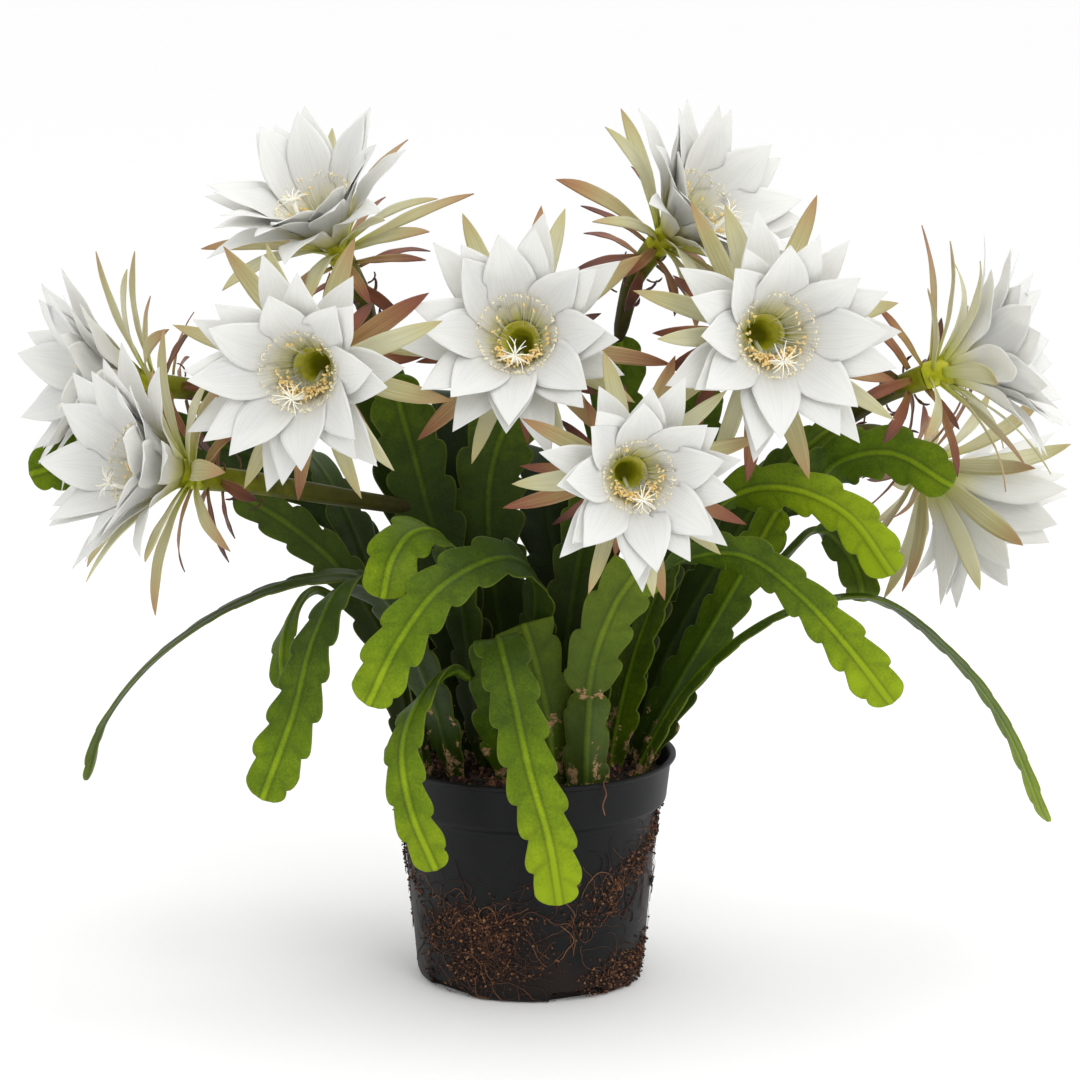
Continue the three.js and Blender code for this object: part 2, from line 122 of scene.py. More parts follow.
def add_node(tree, kind, inputs=None, stops=(), span=(), **settings):
    """Adds a node with its settings, a ramp's stops or a range's span (from, from, to, to), and
    its inputs' values, or the nodes or sockets that they come from."""
    node = tree.nodes.new("ShaderNode" + kind)
    for name, value in settings.items():
        setattr(node, name, value)
    inputs = dict(inputs or {}, **dict(zip(("From Min", "From Max", "To Min", "To Max"), span)))
    for name, value in inputs.items():
        if isinstance(value, bpy.types.Node):
            value = next(output for output in value.outputs if output.enabled)
        if isinstance(value, bpy.types.NodeSocket):
            tree.links.new(value, node.inputs[name])
        else:
            node.inputs[name].default_value = value
    if stops:
        ramp = node.color_ramp
        while len(ramp.elements) < len(stops):
            ramp.elements.new(0.5)
        for element, (place, colour) in zip(ramp.elements, stops):
            element.position = place
            element.color = (linear(colour) if isinstance(colour, str)
                             else (colour,) * 3 + (1,))
    return node


def new_material(name):
    """A named, empty material, and the function that adds a node to it."""
    material = bpy.data.materials.new(name)
    material.use_nodes = True
    material.node_tree.nodes.clear()
    return material, functools.partial(add_node, material.node_tree)


def finished(obj, material, slot, *nodes):
    """Gives a piece its material, hangs it on the root body and hides the frame nodes that it
    stands for; the slot is not used.
    """
    obj.data.materials.clear()
    obj.data.materials.append(material)
    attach(obj, "root")
    if nodes:
        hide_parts(*nodes)
    return obj


# Moulded polypropylene: satin, a little dusty, with a fine orange-peel texture, and smeared with
# soil towards its foot.
pot_plastic, add = new_material("polypropylene_charcoal_moulded")
place = add("TexCoord").outputs["Object"]
dust = add("TexNoise", {"Vector": place, "Scale": 38.0, "Detail": 6.0, "Roughness": 0.62})
height = add("SeparateXYZ", {"Vector": place}).outputs["Z"]
lower = add("MapRange", {"Value": height}, span=(0.12, 0.01))
soiled = add("Math", {0: dust, 1: lower}, operation="MULTIPLY")
smear = add("ValToRGB", {"Fac": soiled}, stops=[(0.36, 0.0), (0.6, 0.5)])
plain = add("ValToRGB", {"Fac": dust}, stops=[(0.3, "#08090A"), (0.7, "#101113")])
colour = add("Mix", {"Factor": smear, "A": plain, "B": linear("#2A1C14")}, data_type="RGBA")
peel = add("TexNoise", {"Vector": place, "Scale": 900.0, "Detail": 2.0})
bump = add("Bump", {"Height": peel, "Strength": 0.12, "Distance": 0.0004})
rough = add("MapRange", {"Value": dust}, span=(0, 1, 0.4, 0.58))
add("OutputMaterial", {"Surface": add("BsdfPrincipled", {
    "Base Color": colour, "Roughness": rough, "Normal": bump, "IOR": 1.49,
    "Specular IOR Level": 0.2})})

pot = primitive("circle", vertices=144, radius=POT_OUTSIDE[0][0] * MM, fill_type="NOTHING")
pot.name = "nursery_pot"
edit(pot)
radius, level = POT_OUTSIDE[0]
for next_radius, next_level in POT_OUTSIDE[1:] + POT_INSIDE:
    bpy.ops.mesh.extrude_region_move()
    bpy.ops.transform.translate(value=(0, 0, (next_level - level) * MM))
    k = next_radius / radius
    bpy.ops.transform.resize(value=(k, k, 1), center_override=(0, 0, 0))
    radius, level = next_radius, next_level
bpy.ops.mesh.edge_face_add()  # the floor
bpy.ops.mesh.select_all(action="DESELECT")
leave_edit()
for v in pot.data.vertices:
    v.select = v.co.z < 0.01 * MM
bpy.ops.object.mode_set(mode="EDIT")
bpy.ops.mesh.select_mode(type="VERT")
bpy.ops.mesh.edge_face_add()  # the underside
face_outwards()
for angle in NOTCHES:
    cutter = primitive("cube", size=1)
    edit(cutter)
    bpy.ops.transform.resize(value=NOTCH_SIZE)
    bpy.ops.mesh.bevel(offset=NOTCH_CORNER, segments=4, affect="EDGES")
    bpy.ops.transform.translate(value=(NOTCH_RADIUS, 0, 0))
    leave_edit()
    cutter.data.transform(Matrix.Rotation(angle, 4, "Z"))
    cut = pot.modifiers.new("notch", "BOOLEAN")
    cut.operation, cut.object, cut.solver = "DIFFERENCE", cutter, "EXACT"
    apply_modifiers(pot)
    bpy.data.objects.remove(cutter)
select_only(pot)
bpy.ops.object.shade_smooth_by_angle(angle=math.radians(40))
finished(pot, pot_plastic, "pot", "pot")


def pot_wall(z):
    """The outer radius of the pot's wall at a height, both in metres."""
    radii, heights = np.array(POT_OUTSIDE).T * MM
    return float(np.interp(z, heights, radii))


# ---- Substrate ----
# Bark and peat, heaped slightly round the stems: one lumpy body to just under the rim, with loose
# chips and crumbs lying on it.

soil_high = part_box("soil")[1]
SOIL_RADIUS, SOIL_CROWN, SOIL_EDGE = soil_high.x - 0.6 * MM, soil_high.z, 133 * MM
# (radius, height) from under its edge down inside the pot
SOIL_SIDE = [(SOIL_RADIUS - 1.4 * MM, 121 * MM), (80.6 * MM, 116 * MM), (72.4 * MM, 20 * MM)]
CHIP_COUNT, CHIP_SIZES = 2300, [1.6, 2.2, 2.8, 3.6, 4.6, 6.0]  # sizes in mm

# Damp peat with bark: nearly black brown with lighter fibres.
substrate, add = new_material("bark_and_peat_substrate")
place = add("TexCoord").outputs["Object"]
lumps = add("TexNoise", {"Vector": place, "Scale": 160.0, "Detail": 5.0, "Roughness": 0.7})
colour = add("ValToRGB", {"Fac": lumps},
             stops=[(0.34, "#0E0805"), (0.54, "#20130C"), (0.66, "#3A2417"), (0.78, "#6A4A30")])
bump = add("Bump", {"Height": lumps, "Strength": 0.8, "Distance": 0.0015})
add("OutputMaterial", {"Surface": add("BsdfPrincipled", {
    "Base Color": colour, "Roughness": 0.92, "Normal": bump})})


def soil_height(x, y):
    """The height of the substrate's surface over a point, in metres."""
    share = min(1.0, math.hypot(x, y) / SOIL_RADIUS)
    heap = SOIL_CROWN - (SOIL_CROWN - SOIL_EDGE) * share ** 1.6
    lumps = noise.noise(Vector((x, y, 0.3)) * 90) * 1.6
    lumps += noise.noise(Vector((x, y, 1.7)) * 260) * 0.9
    return heap + lumps * MM


soil = primitive("grid", x_subdivisions=110, y_subdivisions=110, size=2)
soil.name = "substrate"
for v in soil.data.vertices:  # a square grid drawn out to a disc
    x, y = v.co.x, v.co.y
    px, py = x * math.sqrt(1 - y * y / 2) * SOIL_RADIUS, y * math.sqrt(1 - x * x / 2) * SOIL_RADIUS
    v.co = (px, py, soil_height(px, py))
edit(soil)
bpy.ops.mesh.select_mode(type="EDGE")
bpy.ops.mesh.select_all(action="DESELECT")
bpy.ops.mesh.select_non_manifold(extend=False, use_boundary=True)
radius = SOIL_RADIUS
for next_radius, level in SOIL_SIDE:
    bpy.ops.mesh.extrude_region_move()
    k = next_radius / radius
    bpy.ops.transform.resize(value=(k, k, 0), center_override=(0, 0, level))
    radius = next_radius
bpy.ops.mesh.edge_face_add()
face_outwards()
soil.data.shade_smooth()
finished(soil, substrate, "soil", "soil")


def taken(obj):
    """A mesh's points and faces, its object taken away."""
    points = np.array([v.co for v in obj.data.vertices])
    faces = [tuple(p.vertices) for p in obj.data.polygons]
    bpy.data.objects.remove(obj)
    return points, faces


def chip(seed, flat):
    """One chip of bark: a rough, flattened lump about 1 across, as its points and faces."""
    points, faces = taken(primitive("ico_sphere", subdivisions=1, radius=0.5))
    push = [1 + 0.45 * noise.noise(Vector(p) * 2.2 + Vector((seed, 0, 0))) for p in points]
    return points * np.array(push)[:, None] * (1.25, 0.9, flat), faces


class Bunch:
    """Gathers many small parts, with named values at their points, into one mesh."""

    def __init__(self, *names):
        self.points, self.faces, self.count = [], [], 0
        self.values = {name: [] for name in names}

    def add(self, points, faces, **values):
        self.points.append(points)
        self.faces.extend([int(i) + self.count for i in face] for face in faces)
        for name, store in self.values.items():
            store.append(np.broadcast_to(np.asarray(values[name], float), (len(points),)))
        self.count += len(points)

    def piece(self, name, placed=None, smooth=True):
        """The bunch as a piece; placed is the turn, base and size of parts made in mm."""
        points = np.vstack(self.points)
        if placed:
            turn, base, size = placed
            points = points * MM * size @ turn.T + base
        mesh = bpy.data.meshes.new(name)
        mesh.from_pydata(points.tolist(), [], self.faces)
        for key, store in self.values.items():
            mesh.attributes.new(key, "FLOAT", "POINT").data.foreach_set(
                "value", np.concatenate(store).astype(np.float32))
        if smooth:
            mesh.shade_smooth()
        obj = bpy.data.objects.new(name, mesh)
        bpy.context.scene.collection.objects.link(obj)
        return obj


def turned_about(rng):
    """A random turn, as a 3 by 3 array."""
    axis = Vector((rng.gauss(0, 1), rng.gauss(0, 1), rng.gauss(0, 1))).normalized()
    return np.array(Matrix.Rotation(rng.uniform(0, math.tau), 3, axis))


def drop_chip(heap, rng, size, at, tints):
    """Adds one of the chips of bark to a heap, turned at random."""
    points, faces = rng.choice(chips)
    heap.add(points @ turned_about(rng).T * size + at, faces, tint=rng.choice(tints))


# Loose crumbs: the same substrate, from black peat through brown bark to pale fibre by tint.
loose, add = new_material("bark_chips_and_crumbs")
place = add("TexCoord").outputs["Object"]
tint = add("Attribute", attribute_name="tint").outputs["Fac"]
grain = add("TexNoise", {"Vector": place, "Scale": 420.0, "Detail": 4.0})
tinted = add("Math", {0: grain, 1: tint}, operation="ADD")
colour = add("ValToRGB", {"Fac": tinted},
             stops=[(0.4, "#150C08"), (0.62, "#2E1B11"), (0.82, "#5A331C"), (1.0, "#96704A")])
bump = add("Bump", {"Height": grain, "Strength": 0.7, "Distance": 0.0008})
add("OutputMaterial", {"Surface": add("BsdfPrincipled", {
    "Base Color": colour, "Roughness": 0.9, "Normal": bump})})

chips = [chip(seed * 3.7, flat) for seed, flat in enumerate((0.55, 0.8, 0.4, 0.95))]
rng = random.Random(4)
crumbs = Bunch("tint")
for _ in range(CHIP_COUNT):
    r, angle = SOIL_RADIUS * math.sqrt(rng.random()) * 0.985, rng.uniform(0, math.tau)
    x, y = r * math.cos(angle), r * math.sin(angle)
    size = rng.choice(CHIP_SIZES) * MM * rng.uniform(0.7, 1.2)
    drop_chip(crumbs, rng, size, (x, y, soil_height(x, y) + 0.18 * size),
              (0.0, 0.0, 0.04, 0.08, 0.16, 0.36))
finished(crumbs.piece("substrate_chips", smooth=False), loose, "soil")

# ---- Roots on the pot ----
# Fine brown feeding roots that grew out through the drain notches and dried on to the pot's
# wall, with crumbs of peat caught among them. They run round the pot in loose tangles.

# Dry root bark: matt red-brown, paler where it is thin.
root_bark, add = new_material("dry_root_bark")
place = add("TexCoord").outputs["Object"]
tint = add("Attribute", attribute_name="tint").outputs["Fac"]
patches = add("TexNoise", {"Vector": place, "Scale": 90.0, "Detail": 3.0})
tinted = add("Mix", {"Factor": 0.5, "A": patches, "B": tint})
colour = add("ValToRGB", {"Fac": tinted},
             stops=[(0.3, "#1C0F09"), (0.54, "#432312"), (0.76, "#85593A")])
add("OutputMaterial", {"Surface": add("BsdfPrincipled", {
    "Base Color": colour, "Roughness": 0.85})})


def ring_faces(rings, sides):
    """The faces between rings of points, one after the other."""
    return [(k * sides + j, k * sides + (j + 1) % sides,
             (k + 1) * sides + (j + 1) % sides, (k + 1) * sides + j)
            for k in range(rings - 1) for j in range(sides)]


def strand(path, radius, sides=5):
    """A thin tube along a list of points, closed at both ends, as points and faces."""
    path = np.array(path)
    ahead = np.gradient(path, axis=0)
    ahead /= np.linalg.norm(ahead, axis=1, keepdims=True) + 1e-12
    start = np.array([0.0, 0.0, 1.0]) if abs(ahead[0][2]) < 0.9 else np.array([1.0, 0.0, 0.0])
    side = np.cross(ahead[0], start)
    radii = np.broadcast_to(radius, (len(path),))
    points = []
    for p, t, r in zip(path, ahead, radii):
        side = side - t * (side @ t)
        side /= np.linalg.norm(side) + 1e-12
        up = np.cross(t, side)
        angles = np.arange(sides) * math.tau / sides
        points.append(p + r * (np.cos(angles)[:, None] * side + np.sin(angles)[:, None] * up))
    last = (len(path) - 1) * sides
    ends = [tuple(range(sides))[::-1], tuple(range(last, last + sides))]
    return np.vstack(points), ring_faces(len(path), sides) + ends


def smooth_line(points, fine):
    """Points along a smooth line through the given ones, with `fine` steps between two."""
    p = np.vstack([2 * points[0] - points[1], points, 2 * points[-1] - points[-2]])
    out = []
    for i in range(1, len(p) - 2):
        for t in np.arange(fine) / fine:
            a, b, c, d = p[i - 1], p[i], p[i + 1], p[i + 2]
            out.append(0.5 * (2 * b + (c - a) * t + (2 * a - 5 * b + 4 * c - d) * t * t
                              + (3 * b - a - 3 * c + d) * t ** 3))
    return np.array(out + [p[-2]])


# Tangles, each along a line on the wall: azimuth from the front (degrees) and height (mm) of its
# two ends, spread (mm), number of roots and of crumbs
ROOT_TANGLES = [
    (-40, 44, -4, 50, 10, 150, 1300), (-44, 18, -8, 24, 8, 40, 420), (-60, 26, -42, 62, 8, 34, 240),
    (22, 50, 78, 104, 7, 100, 800), (30, 10, 78, 22, 7, 40, 900), (-34, 20, 16, 30, 8, 40, 150),
    (-80, 100, -64, 60, 7, 16, 90), (100, 80, 160, 40, 11, 46, 260),
    (165, 30, 215, 60, 12, 50, 300), (225, 90, 270, 50, 11, 44, 260), (-10, 72, 30, 66, 9, 22, 40),
]
# Clumps of crumbs: azimuth (degrees), height and spread (mm)
CLUMPS = [(-84, 88, 2.6), (-88, 78, 1.8), (-80, 118, 1.6), (78, 111, 2.0), (84, 96, 1.6),
          (80, 64, 1.6), (70, 8, 2.6), (60, 5, 2.6), (-58, 12, 2.0), (150, 20, 2.4), (200, 84, 2.0)]
# One root that has grown out over the rim and down its band, in mm
OVER_RIM = [(64, -50, 142), (52, -74, 146), (47.5, -82.3, 149.2), (46.5, -83.9, 147.4),
            (48.2, -83.2, 141), (46.0, -83.8, 134), (47.4, -82.4, 127)]
ROOT_RADII, CAUGHT_SIZES = [0.1, 0.12, 0.16, 0.28], [0.5, 0.7, 1.0, 1.5, 2.1]  # in mm
ROOT_FLOOR, ROOT_CEILING = 1 * MM, 112 * MM  # the heights that the roots keep to
rng = random.Random(11)
roots, caught = Bunch("tint"), Bunch("tint")


def wander(angle, z, heading, reach, lift, top):
    """A root's path over the pot's wall from an angle and height, all metres and radians."""
    bend, step, path = rng.gauss(0, 0.12), 1.5 * MM, []
    for _ in range(int(reach / step)):
        heading += bend + rng.gauss(0, 0.2)
        bend = 0.88 * bend + rng.gauss(0, 0.06)
        lift = min(max(lift + rng.gauss(0, 0.2) * MM, 0.1 * MM), top)
        r = pot_wall(z) + lift
        angle += math.cos(heading) * step / r
        z = min(max(z + math.sin(heading) * step, ROOT_FLOOR), ROOT_CEILING)
        path.append((r * math.cos(angle), r * math.sin(angle), z))
    return path


for angle_0, level_0, angle_1, level_1, spread, root_count, crumb_count in ROOT_TANGLES:
    def somewhere(share):
        at = rng.random()
        azimuth = angle_0 + (angle_1 - angle_0) * at - 90 + rng.gauss(0, spread * share) / 1.4
        level = level_0 + (level_1 - level_0) * at + rng.gauss(0, spread * share)
        return math.radians(azimuth), min(max(level, 2), 112) * MM

    for _ in range(root_count):
        angle, z = somewhere(1.0)
        path = wander(angle, z, rng.uniform(0, math.tau), rng.uniform(8, 46) * MM,
                      0.3 * MM, 2.2 * MM)
        roots.add(*strand(path, rng.choice(ROOT_RADII) * MM, sides=4), tint=rng.random())
    for _ in range(crumb_count):
        angle, z = somewhere(0.8)
        size = rng.choice(CAUGHT_SIZES) * MM * rng.uniform(0.7, 1.2)
        r = pot_wall(z) + rng.uniform(0.1, 0.7) * size
        drop_chip(caught, rng, size, (r * math.cos(angle), r * math.sin(angle), z),
                  (0.05, 0.15, 0.28, 0.36))
for azimuth, level, spread in CLUMPS:
    for k in range(30):
        angle = math.radians(azimuth - 90) + rng.gauss(0, spread) * MM / 0.085
        z = max(level + rng.gauss(0, spread * 1.5), 1) * MM
        r = pot_wall(z) + rng.uniform(0, spread) * 1.2 * MM
        drop_chip(caught, rng, rng.uniform(0.8, 2.2) * MM,
                  (r * math.cos(angle), r * math.sin(angle), z), (0.0, 0.05, 0.12))
        if k % 6 == 0:
            path = wander(angle, z, rng.uniform(0, math.tau), 12 * MM, 1.5 * MM, 5 * MM)
            roots.add(*strand(path, 0.2 * MM, sides=4), tint=rng.random())
roots.add(*strand(smooth_line(np.array(OVER_RIM) * MM, 5), 0.42 * MM), tint=0.9)
finished(roots.piece("pot_roots"), root_bark, "pot")
finished(caught.piece("pot_crumbs", smooth=False), loose, "pot")

# ---- Stems ----
# Flat leaf-like shoots of waxy green tissue, 2 to 6 mm thick, stiffened by a raised midrib. Their
# margins are cut into rounded lobes with a notch between two, turn about on the left and right.

def merged(node):
    """A frame node's points with its loose triangles joined, and each point's neighbours."""
    copy = bmesh.new()
    copy.from_mesh(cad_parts[node].data)
    bmesh.ops.remove_doubles(copy, verts=copy.verts, dist=2e-6)
    copy.verts.index_update()
    points = np.array([v.co for v in copy.verts])
    beside = [[e.other_vert(v).index for e in v.link_edges] for v in copy.verts]
    copy.free()
    return points, beside


def levels_from(start, beside, allowed=None):
    """Sets of points at each number of edges from the start points."""
    seen, level, levels = set(start), set(start), [set(start)]
    while True:
        level = {j for i in level for j in beside[i]
                 if j not in seen and (allowed is None or j in allowed)}
        if not level:
            return levels
        seen |= level
        levels.append(level)


def stem_rings(node):
    """A stem's rings of four from its foot to its tip: centre, side, half widths and thickness."""
    points, beside = merged(node)
    for apex in (i for i, b in enumerate(beside) if len(b) == 4):
        levels = levels_from([apex], beside)
        if all(len(level) == 4 for level in levels[1:]):
            break
    else:
        raise ValueError(node)
    cycles = []
    for level in levels[1:]:
        first = min(level)
        second, fourth = [j for j in beside[first] if j in level][:2]
        third = next(j for j in level if j not in (first, second, fourth))
        cycles.append((first, second, third, fourth))
    spans = [np.linalg.norm(points[a] - points[c]) for a, _, c, _ in cycles]
    across = [np.linalg.norm(points[b] - points[d]) for _, b, _, d in cycles]
    widest = int(np.argmax(np.maximum(spans, across)))
    rings = [None] * len(cycles)

    def read(k, along_side):
        """Orders a ring's points so that the first to the third runs with along_side."""
        best = None
        for quad in (cycles[k], cycles[k][1:] + cycles[k][:1]):
            way = points[quad[2]] - points[quad[0]]
            fit = way @ along_side / np.linalg.norm(way)
            if best is None or abs(fit) > abs(best[0]):
                best = (fit, quad if fit > 0 else (quad[2], quad[3], quad[0], quad[1]))
        return tuple(points[i] for i in best[1])  # left, top, right, under

    start = cycles[widest]
    if spans[widest] <= across[widest]:
        start = start[1:] + start[:1]
    way = points[start[2]] - points[start[0]]
    for order in (range(widest, len(cycles)), range(widest, -1, -1)):
        side = way / np.linalg.norm(way)
        for k in order:
            rings[k] = read(k, side)
            side = rings[k][2] - rings[k][0]
            side /= np.linalg.norm(side)
    rings.reverse()
    left, top, right, under = np.array(rings).transpose(1, 0, 2)
    centres, across = (top + under) / 2, right - left
    sides = across / np.linalg.norm(across, axis=1, keepdims=True)
    lefts, rights = (np.linalg.norm(margin - centres, axis=1) for margin in (left, right))
    return (np.vstack([centres, points[apex]]), np.vstack([sides, sides[-1:]]), lefts, rights,
            np.linalg.norm(top - under, axis=1))


FINE = 8  # stations from one ring of the frame to the next, 1.5 mm apart
# Places across half a blade, as shares of the half width from midrib to margin
SHARES = [0, 0.05, 0.11, 0.2, 0.36, 0.56, 0.76, 0.9, 0.965, 1]
LOBE_DEPTH = 0.25  # of the half width, from a lobe's fullest to its notch
FURROW_DEPTH = 0.16  # the same, on a woody trunk
RIB_WIDTH = 2.1 * MM
BLADE_THICKNESS = 2.7 * MM
# Half the width of the waist where a blade springs from a trunk, and how long it takes to spread
STALK_WIDTH, SPREAD_LENGTH, WAIST_LENGTH = 8 * MM, 24 * MM, 9 * MM
# (tone, bloom) of each stem: tone from light (0) to dark green (1), bloom its grey wax
STEM_LOOKS = {
    "front_hanging": (0.14, 0), "pot_left_hanging": (0.2, 0), "left_big": (0.32, 0),
    "left_behind": (0.4, 0), "mid_left": (0.27, 0), "short_left": (0.3, 0),
    "right_mid": (0.16, 0), "right_up": (0.08, 0), "right_dark": (0.34, 0),
    "right_under": (0.45, 0.3), "long_right": (0.14, 0), "long_left": (0.36, 0.5),
    "base_centre": (0.3, 0.45), "base_left": (0.36, 0.4), "right_broad": (0.36, 0.05),
    "upper_left": (0.5, 0.3), "back_left": (0.4, 0), "back_centre": (0.6, 0),
    "back_right": (0.6, 0), "bearer_01": (0.56, 0.1), "bearer_02": (0.48, 0.1),
    "bearer_03": (0.54, 0.1), "bearer_05": (0.52, 0.1), "bearer_06": (0.44, 0.1),
    "bearer_07": (0.5, 0.1), "bearer_08": (0.56, 0.1), "bearer_09": (0.48, 0.1),
    "bearer_10": (0.5, 0.1),
}
# (length, half width, half thickness) of the thick three-angled lower part of two old stems
TRUNKS = {"base_centre": (84 * MM, 15 * MM, 12 * MM), "base_left": (58 * MM, 13 * MM, 9 * MM)}


def lobe(phase, depth):
    """A margin's share of the full half width, from one notch (0) on to the next (1)."""
    return 1 - depth * (1 - np.sin(math.pi * np.minimum(phase, 1) ** 2.1) ** 0.5)


def model_stem(node, tone, bloom, trunk):
    """One stem over its node: a closed flat blade with lobed margins and a midrib, the lines of its
    side veins, along which crease shade is painted, and a trunk below it where it has one."""
    centres, sides, lefts, rights, thick = stem_rings(node)
    count = len(lefts)
    line, side = smooth_line(centres, FINE), smooth_line(sides, FINE)
    places = np.arange(len(line)) / FINE  # in rings from the foot
    steps = np.linalg.norm(np.diff(line, axis=0), axis=1)
    length = np.concatenate([[0], np.cumsum(steps)])
    full = np.maximum(lefts, rights) * 0.97
    beyond = np.clip(places - (count - 1), 0, 1)  # past the last ring, where the tip rounds off
    rounded = full[-1] * np.sqrt(np.clip(1 - beyond ** 2, 0, 1))
    envelope = np.where(beyond > 0, rounded, np.interp(places, np.arange(count), full))
    middle = np.interp(places, np.arange(count), thick) * (1 - 0.6 * beyond ** 2)
    open_share = np.clip((envelope - 6 * MM) / (full.max() - 6 * MM), 0, 1)
    woody = np.zeros(len(line))
    if trunk:
        trunk_length, trunk_width, trunk_thickness = trunk
        share = np.clip((length - trunk_length) / SPREAD_LENGTH, 0, 1)
        waist = np.clip((length - trunk_length + WAIST_LENGTH) / WAIST_LENGTH, 0, 1) ** 2
        grown = np.sqrt(share * (2 - share)) * (np.maximum(envelope, 19 * MM) - STALK_WIDTH)
        envelope = np.where(share > 0, STALK_WIDTH + grown,
                            trunk_width + (STALK_WIDTH - trunk_width) * waist)
        middle = np.where(share > 0, middle, 2 * trunk_thickness * (1 - 0.4 * waist))
        open_share = open_share * share
        woody = (share == 0).astype(float)
    depth = (LOBE_DEPTH * open_share + FURROW_DEPTH * woody) * (1 - beyond)
    near_middle = count // 4 * 2
    first_left = 0 if lefts[near_middle] < rights[near_middle] else 1
    rng = random.Random(node)
    fold, drift = rng.uniform(0.03, 0.12), rng.uniform(0, 50)
    shares = [-u for u in SHARES[:0:-1]] + SHARES
    points, looks = [], []
    rooted = line[0][2] < 0.14  # or else it grows from another stem
    rows = len(line) - 1
    for k in range(rows):
        ahead = line[min(k + 1, rows)] - line[max(k - 1, 0)]
        ahead /= np.linalg.norm(ahead)
        s = side[k] - ahead * (side[k] @ ahead)
        s /= np.linalg.norm(s)
        face = np.cross(s, ahead)
        jitter = 1 + 0.05 * noise.noise(Vector((drift, places[k] * 0.7, 0)))
        phase = {-1: (places[k] - first_left) % 2, 1: (places[k] - first_left + 1) % 2}
        half = {sign: envelope[k] * lobe(phase[sign] / 2, depth[k]) * jitter for sign in phase}
        blade = min(BLADE_THICKNESS, 0.6 * middle[k]) * (1 - woody[k]) + 0.4 * middle[k] * woody[k]
        ridge = RIB_WIDTH * (1 + 2.4 * woody[k])
        swell = 0.8 * MM * noise.noise(Vector((drift, 0, length[k] * 22)))
        corky = math.exp(-((length[k] - trunk[0]) / (4 * MM)) ** 2) if trunk else 0
        for way in (1, -1):  # the upper face from left to right, then the lower from right to left
            for u in (shares[:-1] if way > 0 else shares[:0:-1]):
                sign = 1 if u > 0 else -1
                x = u * half[sign]
                body = blade * (1 - 0.42 * abs(u) ** 1.5) * (1 - abs(u) ** 14) ** 0.5
                rib = max(middle[k] - blade, 0) * math.exp(-((x / ridge) ** 2))
                ripple = noise.noise(Vector((drift + sign * 9, u, places[k] * 1.3)))
                lift = way * (body + rib) / 2 + swell * (0.3 + abs(u))
                lift += (fold * abs(x) + 0.5 * MM * u * u * ripple) * open_share[k]
                points.append(line[k] + s * x + face * lift)
                # Where the side veins run from the midrib to the notches; darker lines are painted
                # along them as the shade of their creases.
                from_notch = min(abs(phase[sign] + 0.75 * (1 - abs(u)) - n) for n in (0, 2, 4))
                vein_crease_shade = math.exp(-(from_notch / 0.16) ** 2) * min(1, abs(u) * 4)
                looks.append((vein_crease_shade * open_share[k], abs(x), abs(u), length[-1] - length[k],
                              (length[k] if rooted else 1) - 0.08 * corky))
    n = 2 * (len(shares) - 1)
    faces = ring_faces(rows, n)
    tip, foot, last = len(points), len(points) + 1, (rows - 1) * n
    points += [line[-1], line[0] - (line[1] - line[0]) * 3]
    for j in range(n):
        faces += [(last + j, last + (j + 1) % n, tip), ((j + 1) % n, j, foot)]
    looks += [(0, 0, 1, 0, 1), (0, 0, 0, length[-1], 0)]
    values = dict(zip(("vein_crease_shade", "across", "edge", "along", "base"), np.array(looks).T))
    whole = Bunch("tone", "bloom", *values)
    whole.add(np.array(points), faces, tone=tone, bloom=bloom, **values)
    piece = whole.piece(node + "_blade")
    edit(piece)
    face_outwards()
    return piece


# Waxy cactus skin: yellow-green on young hanging ends (tone 0) to nearly black green on old inner
# stems (tone 1), dull with bloom on some; lighter towards each tip, partly as younger tissue and
# partly as painted shade over the upper parts under the flowers; a painted highlight along the
# midrib's crest between bands of painted shade on its flanks, side veins painted as darker lines
# for the shade of their creases, a pale margin, and cork near the substrate.
stem_skin, add = new_material("waxy_cactus_skin")
place = add("TexCoord").outputs["Object"]
tone, bloom, along, base, across, edge, vein_crease_shade = (
    add("Attribute", attribute_name=name).outputs["Fac"]
    for name in ("tone", "bloom", "along", "base", "across", "edge", "vein_crease_shade"))
mottle = add("TexNoise", {"Vector": place, "Scale": 48.0, "Detail": 6.0, "Roughness": 0.62})
grain = add("TexNoise", {"Vector": place, "Scale": 700.0, "Detail": 3.0})
patchy = add("MapRange", {"Value": mottle}, span=(0.3, 0.7, -0.09, 0.09))
# Lighter within 16 cm of each tip: partly the younger tissue there, partly painted shade that
# darkens the upper parts under the flowers.
young_tip_and_painted_shade = add("MapRange", {"Value": along}, span=(0.0, 0.16, -0.16, 0.34))
speck = add("MapRange", {"Value": grain}, span=(0.3, 0.7, -0.05, 0.05))
# Painted highlight: lighter along the midrib's crest, as if the ridge caught the light.
painted_crest_highlight = add("MapRange", {"Value": across}, span=(0.0006, 0.0022, -0.13, 0.0))
total = tone
for part in (patchy, young_tip_and_painted_shade, speck, painted_crest_highlight):
    total = add("Math", {0: total, 1: part}, operation="ADD")
green = add("ValToRGB", {"Fac": total}, stops=[
    (0.0, "#8CA312"), (0.25, "#5E760B"), (0.5, "#364A08"), (0.75, "#1D2D07"), (1.0, "#101A05")])
waxed = add("Mix", {"Factor": bloom, "A": green, "B": linear("#424D20")}, data_type="RGBA")
